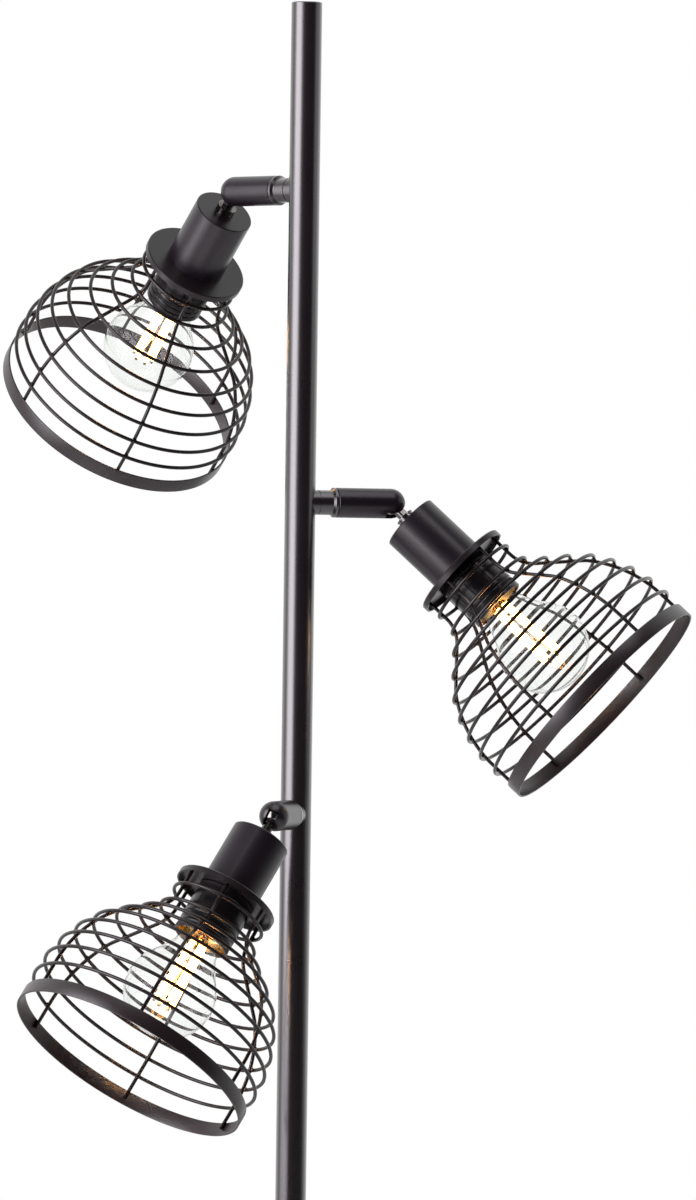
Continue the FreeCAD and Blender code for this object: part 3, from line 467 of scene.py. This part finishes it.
# ---- Filaments -------------------------------------------------------------------------------------
# Six thin glass sticks, coated with warm phosphor and lit, stand round the glass foot like the
# staves of a barrel. Small metal tabs at their ends join them to the support wires.

stick_count, stick_radius, stick_top, stick_end = 6, 0.0012, 0.1000, 0.1460
stick_top_ring, stick_end_ring, tab_length, lead_wire = 0.0046, 0.0064, 0.0022, 0.0003
waist_share, waist_rise, lit_strength = 0.3, 0.006, 15.0


def glow():
    """Warm light, a little brighter in patches, as the coating is never quite even."""
    made = bpy.data.materials.new("glowing_filament")
    made.use_nodes = True
    nodes, links = made.node_tree.nodes, made.node_tree.links
    shader = nodes["Principled BSDF"]
    shader.inputs["Base Color"].default_value = (0.9, 0.5, 0.15, 1)
    where, noise = nodes.new("ShaderNodeTexCoord"), nodes.new("ShaderNodeTexNoise")
    ramp = nodes.new("ShaderNodeValToRGB")
    noise.inputs["Scale"].default_value = 400
    ramp.color_ramp.elements[0].color = (1.0, 0.40, 0.085, 1)
    ramp.color_ramp.elements[1].color = (1.0, 0.50, 0.130, 1)
    links.new(where.outputs["Object"], noise.inputs["Vector"])
    links.new(noise.outputs["Fac"], ramp.inputs["Fac"])
    links.new(ramp.outputs["Color"], shader.inputs["Emission Color"])
    shader.inputs["Emission Strength"].default_value = lit_strength
    return made


def round_wire(line, radius, sides=8):
    """A round wire along a line of points, with its ends closed to a point.

    Each point gets a circle in the plane across the line, whose two directions are the line's
    direction crossed with a fixed one, and that crossed with the line's direction.
    """
    along = np.gradient(line, axis=0)
    along /= np.linalg.norm(along, axis=1, keepdims=True)
    line, along = (np.concatenate([rows[:1], rows, rows[-1:]]) for rows in (line, along))
    across = np.cross(along, np.array([0.31, 0.17, 0.04]))
    across /= np.linalg.norm(across, axis=1, keepdims=True)
    upward = np.cross(along, across)
    angles = np.linspace(0, 2 * np.pi, sides, endpoint=False)
    girth = np.full(len(line), radius)
    girth[0] = girth[-1] = 0.0
    cosine, sine = np.cos(angles)[None, :, None], np.sin(angles)[None, :, None]
    circle = across[:, None, :] * cosine + upward[:, None, :] * sine
    return line[:, None, :] + circle * girth[:, None, None]


def stick_line(index, start, end, steps=9):
    """Part of a stick's middle line: its ring widens evenly with the way down from top to end."""
    angle = (index + 0.5) / stick_count * 2 * math.pi
    way = np.linspace(start, end, steps)
    ring = stick_top_ring + (stick_end_ring - stick_top_ring) * way
    depth = stick_top + (stick_end - stick_top) * way
    return np.stack([ring * math.cos(angle), ring * math.sin(angle), depth], axis=-1)


def support_lines():
    """Bent wires from the foot's tip to the lower tabs, and straight ones from its waist to the upper."""
    lines = []
    for index in range(stick_count):
        low = stick_line(index, 1.03, 1.05, 2)[-1]
        high = stick_line(index, -0.05, -0.03, 2)[0]
        way = np.linspace(0, 1, 12)[:, None]
        foot = np.array([0, 0, foot_tip - 0.001])
        lines.append(foot + (low - foot) * np.concatenate([way**2, way**2, way], axis=1))
        waist = np.array([high[0] * waist_share, high[1] * waist_share, stick_top - waist_rise])
        lines.append(waist + (high - waist) * way)
    return lines


lit_filament = glow()
tab = tab_length / (stick_end - stick_top)
for spot in spots:
    sticks = [(in_head(spot, round_wire(stick_line(index, 0, 1), stick_radius, 12)), False)
              for index in range(stick_count)]
    new_piece(f"{spot}_filament", sticks, lit_filament, f"{spot}_head")
    metal = [(in_head(spot, round_wire(stick_line(index, *ends, 3), stick_radius * 0.8, 10)), False)
             for index in range(stick_count) for ends in ((-tab, 0.004), (0.996, 1 + tab))]
    metal += [(in_head(spot, round_wire(line, lead_wire, 6)), False) for line in support_lines()]
    new_piece(f"{spot}_filament_supports", metal, nickel, f"{spot}_head")


# ---- Wire cages ------------------------------------------------------------------------------------
# Six bent ribs stand inside the disc's rim, nine closed rings are spot-welded round them, and each
# crossing has a small flattened weld. The whole cage is sprayed after it is welded.

wire_radius, weld_sink, weld_height, weld_length = 0.0012, 0.0003, 0.0011, 0.0019
disc_top, disc_sheet = 0.0625, 0.0012
rib_count, ring_count, flare_rings = 6, 9, 5
neck_line_radius, neck_bend, flare_angle, flare_start = 0.0298, 0.022, math.radians(47.5), 0.0271
shoulder_bend, dome_angle, dome_bend, rib_end = 0.030, math.radians(35.3), 0.083, 0.1275
first_ring, flare_pitch, dome_pitch, rib_last_radius = 0.0128, 0.0151, 0.0133, 0.0786
first_rib_angle = {"upper": 18.0, "middle": 35.7, "lower": 5.0}
wire_enamel = finish("black_wire", (0.008, 0.0042, 0.0042), (0.013, 0.007, 0.007), 0.22, 0.1, 60, 1800, 0.00001,
                     Specular_IOR_Level=0.5)


def rib_course():
    """Lengths along a rib where its bends start and end, and the slope at each of them.

    The slope grows evenly along the neck's bend, holds down the flare, and falls evenly along the
    shoulder and then the dome until the wire is upright again.
    """
    reach = neck_bend * math.tan(flare_angle / 2)
    neck = flare_start - reach - disc_sheet
    after_neck = neck_line_radius + neck_bend * (1 - math.cos(flare_angle))
    before_dome = rib_last_radius - dome_bend * (1 - math.cos(dome_angle))
    shoulder_rise = shoulder_bend * (math.cos(dome_angle) - math.cos(flare_angle))
    flare = (before_dome - shoulder_rise - after_neck) / math.sin(flare_angle)
    lengths = np.cumsum([0, neck, neck_bend * flare_angle, flare, shoulder_bend * (flare_angle - dome_angle),
                         dome_bend * dome_angle])
    return lengths, np.array([0, 0, flare_angle, flare_angle, dome_angle, 0])


def rib_places(lengths):
    """Radius, depth and slope at lengths along a rib: running sums of the slope's sine and cosine."""
    marks, slopes = rib_course()
    fine = np.linspace(0, 0.25, 5001)
    slope = np.interp(fine, marks, slopes)
    middle = (slope[1:] + slope[:-1]) / 2
    step = fine[1]
    radius = neck_line_radius + np.concatenate([[0], np.cumsum(np.sin(middle) * step)])
    depth = disc_top + disc_sheet + np.concatenate([[0], np.cumsum(np.cos(middle) * step)])
    return np.interp(lengths, fine, radius), np.interp(lengths, fine, depth), np.interp(lengths, fine, slope)


def rib_length():
    """The length at which a rib's depth reaches its end."""
    tries = np.linspace(0, 0.25, 2000)
    return float(np.interp(disc_top + rib_end, rib_places(tries)[1], tries))


def rib_wire(angle, sides=14):
    """A rib: circles across its middle line, in its half plane and square to it."""
    total = rib_length()
    lengths = np.concatenate([[0], np.linspace(0, total, 90), [total]])
    radius, depth, slope = rib_places(lengths)
    round_angle = np.linspace(0, 2 * np.pi, sides, endpoint=False)
    girth = np.full(len(lengths), wire_radius)
    girth[0] = girth[-1] = 0.0
    outwards = girth[:, None] * np.cos(round_angle)
    sideways = girth[:, None] * np.sin(round_angle)
    far = radius[:, None] + outwards * np.cos(slope)[:, None]
    low = depth[:, None] - outwards * np.sin(slope)[:, None]
    return np.stack([far * math.cos(angle) - sideways * math.sin(angle),
                     far * math.sin(angle) + sideways * math.cos(angle), low], axis=-1)


def ring_wire(radius, depth, sides=14, steps=144):
    """A ring: a circle carried round the axis."""
    around = np.linspace(0, 2 * np.pi, steps, endpoint=False)[:, None]
    circle = np.linspace(0, 2 * np.pi, sides, endpoint=False)[None, :]
    far = radius + wire_radius * np.cos(circle)
    low = np.broadcast_to(depth + wire_radius * np.sin(circle), (steps, sides))
    return np.stack([far * np.cos(around), far * np.sin(around), low], axis=-1)


def weld(radius, depth, slope, angle):
    """A flattened ball between rib and ring, long on the rib and low on the outside."""
    rise = np.linspace(0, np.pi, 8)[:, None]
    turn_round = np.linspace(0, 2 * np.pi, 10, endpoint=False)[None, :]
    out = weld_height * np.cos(rise) + 0 * turn_round
    down_rib = weld_length * np.sin(rise) * np.cos(turn_round)
    sideways = weld_length * np.sin(rise) * np.sin(turn_round)
    far = radius + out * math.cos(slope) + down_rib * math.sin(slope)
    low = depth - out * math.sin(slope) + down_rib * math.cos(slope)
    return np.stack([far * math.cos(angle) - sideways * math.sin(angle),
                     far * math.sin(angle) + sideways * math.cos(angle), low], axis=-1)


def cage(spot):
    """All the wires and welds of one cage; the rings lie on the ribs, sunk a little into them."""
    rib_angles = math.radians(first_rib_angle[spot]) + np.arange(rib_count) * 2 * np.pi / rib_count
    surfaces = [(rib_wire(angle), False) for angle in rib_angles]
    index = np.arange(ring_count)
    below = np.maximum(index + 1 - flare_rings, 0)
    lengths = first_ring - disc_sheet + flare_pitch * (index - below) + dome_pitch * below
    offset = 2 * wire_radius - weld_sink
    for radius, depth, slope in zip(*rib_places(lengths)):
        out, up = offset * math.cos(slope), offset * math.sin(slope)
        surfaces.append((ring_wire(radius + out, depth - up), True))
        surfaces += [(weld(radius + out / 2, depth - up / 2, slope, angle), False) for angle in rib_angles]
    return surfaces


for spot in spots:
    surfaces = [(in_head(spot, grid), closed) for grid, closed in cage(spot)]
    wires = new_piece(f"{spot}_cage", surfaces, wire_enamel, f"{spot}_head")
    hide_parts(f"{spot}_cage_wires")


# ---- Mouth bands -----------------------------------------------------------------------------------
# A flat steel strip is bent to a hoop, butt-welded and pushed over the ends of the ribs. Its two
# edges are rounded, so they catch a thin line of light.

band_radius, band_sheet, band_top, band_width, band_round = 0.081, 0.0012, 0.1843, 0.0098, 0.0004
band_enamel = finish("black_band", (0.0110, 0.0052, 0.0068), (0.0160, 0.0082, 0.0104), 0.33, 0.08, 30, 1500,
                     0.00002, Specular_IOR_Level=0.9)


def band_hoop():
    """The strip's section, a rectangle with rounded corners, carried round the axis."""
    quarter = np.linspace(0, np.pi / 2, 5)
    middle_radius, middle_depth = band_radius - band_sheet / 2, band_top + band_width / 2
    radii, depths = [], []
    for index, (out, low) in enumerate(((1, 1), (-1, 1), (-1, -1), (1, -1))):
        turned = quarter + index * np.pi / 2
        radii.append(middle_radius + out * (band_sheet / 2 - band_round) + band_round * np.cos(turned))
        depths.append(middle_depth + low * (band_width / 2 - band_round) + band_round * np.sin(turned))
    return lathe(np.concatenate(radii), np.concatenate(depths), 180)


for spot in spots:
    hoop = new_piece(f"{spot}_mouth_band", [(in_head(spot, band_hoop()), True)], band_enamel, f"{spot}_head")
    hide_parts(f"{spot}_cage_band")


# ---- Floor -----------------------------------------------------------------------------------------
# A plain pale studio floor that isn't part of the lamp. It glows for the camera, most of all far from
# the lamp, so that it runs into the white surroundings and still keeps the lamp's shadow.

floor_radius, white_share = 3.2, 0.75


def studio_floor():
    """A flat disc: rows of growing radius round the origin.

    What the camera sees is mixed from the lit floor and plain white. The share of white grows evenly
    with the distance from the lamp, and is full before the floor ends.
    """
    grid = lathe([0, 1.5, floor_radius], [0.0, 0.0, 0.0], 96)
    mesh = bpy.data.meshes.new("studio_floor")
    mesh.from_pydata(grid.reshape(-1, 3).tolist(), [], grid_faces(3, 96, False)[:, ::-1].tolist())
    piece = bpy.data.objects.new("studio_floor", mesh)
    bpy.context.scene.collection.objects.link(piece)
    made = bpy.data.materials.new("studio_floor")
    made.use_nodes = True
    nodes, links = made.node_tree.nodes, made.node_tree.links
    shader = nodes["Principled BSDF"]
    shader.inputs["Base Color"].default_value = (0.86, 0.86, 0.86, 1)
    shader.inputs["Roughness"].default_value = 0.9
    white, mix = nodes.new("ShaderNodeEmission"), nodes.new("ShaderNodeMixShader")
    path = nodes.new("ShaderNodeLightPath")
    seen, share = nodes.new("ShaderNodeMath"), nodes.new("ShaderNodeMath")
    seen.operation, share.operation = "MAXIMUM", "MULTIPLY"
    where, far = nodes.new("ShaderNodeTexCoord"), nodes.new("ShaderNodeVectorMath")
    fade = nodes.new("ShaderNodeMapRange")
    far.operation = "LENGTH"
    for socket, value in (("From Min", 0.4), ("From Max", 0.9 * floor_radius),
                          ("To Min", white_share), ("To Max", 1.0)):
        fade.inputs[socket].default_value = value
    links.new(where.outputs["Object"], far.inputs[0])
    links.new(far.outputs["Value"], fade.inputs["Value"])
    links.new(fade.outputs[0], share.inputs[1])
    links.new(path.outputs["Is Camera Ray"], seen.inputs[0])
    links.new(path.outputs["Is Transmission Ray"], seen.inputs[1])
    links.new(seen.outputs[0], share.inputs[0])
    links.new(share.outputs[0], mix.inputs[0])
    links.new(shader.outputs[0], mix.inputs[1])
    links.new(white.outputs[0], mix.inputs[2])
    links.new(mix.outputs[0], nodes["Material Output"].inputs["Surface"])
    mesh.materials.append(made)


studio_floor()


# ---- Light -----------------------------------------------------------------------------------------
# Soft white studio light: a large diffuser on the left, bright in its middle, a weak one on the
# right and one above.
# The surroundings are white, and darker on the camera's side, as in a studio with a white backdrop.

light_tint = (1.0, 0.945, 1.0)


def soft_box(name, place, target, width, height, power):
    """A rectangle of light at a place, turned to face the target; sizes in metres, power in watts."""
    lamp = bpy.data.lights.new(name, "AREA")
    lamp.shape, lamp.size, lamp.size_y, lamp.energy = "RECTANGLE", width, height, power
    lamp.color = light_tint
    holder = bpy.data.objects.new(name, lamp)
    holder.location = place
    holder.rotation_euler = (Vector(target) - Vector(place)).to_track_quat("-Z", "Y").to_euler()
    bpy.context.scene.collection.objects.link(holder)


soft_box("left_diffuser", (-1.38, -0.80, 1.45), (0, 0, 1.45), 2.1, 2.1, 17)
soft_box("left_diffuser_middle", (-1.31, -0.84, 1.60), (0, 0, 1.60), 1.25, 1.5, 23)
soft_box("right_diffuser", (1.6, -0.15, 1.6), (0, 0, 1.3), 0.6, 1.2, 1.1)
soft_box("top_diffuser", (0.2, -0.6, 2.9), (0, 0, 1.2), 1.4, 1.4, 10)


def surroundings():
    """White for what the camera sees; as light and in reflections it is white behind and dim in front."""
    world = bpy.data.worlds.new("studio")
    bpy.context.scene.world = world
    world.use_nodes = True
    nodes, links = world.node_tree.nodes, world.node_tree.links
    background = nodes["Background"]
    background.inputs["Color"].default_value = (1, 1, 1, 1)
    where, split = nodes.new("ShaderNodeTexCoord"), nodes.new("ShaderNodeSeparateXYZ")
    fall, path = nodes.new("ShaderNodeMapRange"), nodes.new("ShaderNodeLightPath")
    seen, choose = nodes.new("ShaderNodeMath"), nodes.new("ShaderNodeMath")
    seen.operation, choose.operation = "MAXIMUM", "MAXIMUM"
    for socket, value in (("From Min", -0.15), ("From Max", 0.55), ("To Min", 0.03), ("To Max", 0.95)):
        fall.inputs[socket].default_value = value
    links.new(where.outputs["Generated"], split.inputs[0])
    links.new(split.outputs["Y"], fall.inputs["Value"])
    links.new(path.outputs["Is Camera Ray"], seen.inputs[0])
    links.new(path.outputs["Is Transmission Ray"], seen.inputs[1])
    links.new(seen.outputs[0], choose.inputs[0])
    links.new(fall.outputs[0], choose.inputs[1])
    links.new(choose.outputs[0], background.inputs["Strength"])


surroundings()


# ---- Camera ----------------------------------------------------------------------------------------
# Level at 1.2 m and 6 m away, as the photograph was taken, with a long lens. It is rolled by under
# a degree, so that the pole leans to the right by as much as it does there.

camera_place, camera_roll = (0.032, -6.056, 1.2118), math.radians(0.784)
sensor_height, focal_share = 36, 9317 / 1200


def camera():
    """Looks along +Y; its right and up directions are X and Z turned by the roll."""
    view = bpy.data.cameras.new("camera")
    view.lens = sensor_height * focal_share
    view.clip_end = 60
    holder = bpy.data.objects.new("camera", view)
    cosine, sine = math.cos(camera_roll), math.sin(camera_roll)
    turned = Matrix(((cosine, 0, sine), (-sine, 0, cosine), (0, -1, 0))).transposed().to_4x4()
    holder.matrix_world = Matrix.Translation(camera_place) @ turned
    bpy.context.scene.collection.objects.link(holder)
    bpy.context.scene.camera = holder


camera()
bpy.context.scene.view_settings.view_transform = "Standard"
bpy.context.view_layer.update()
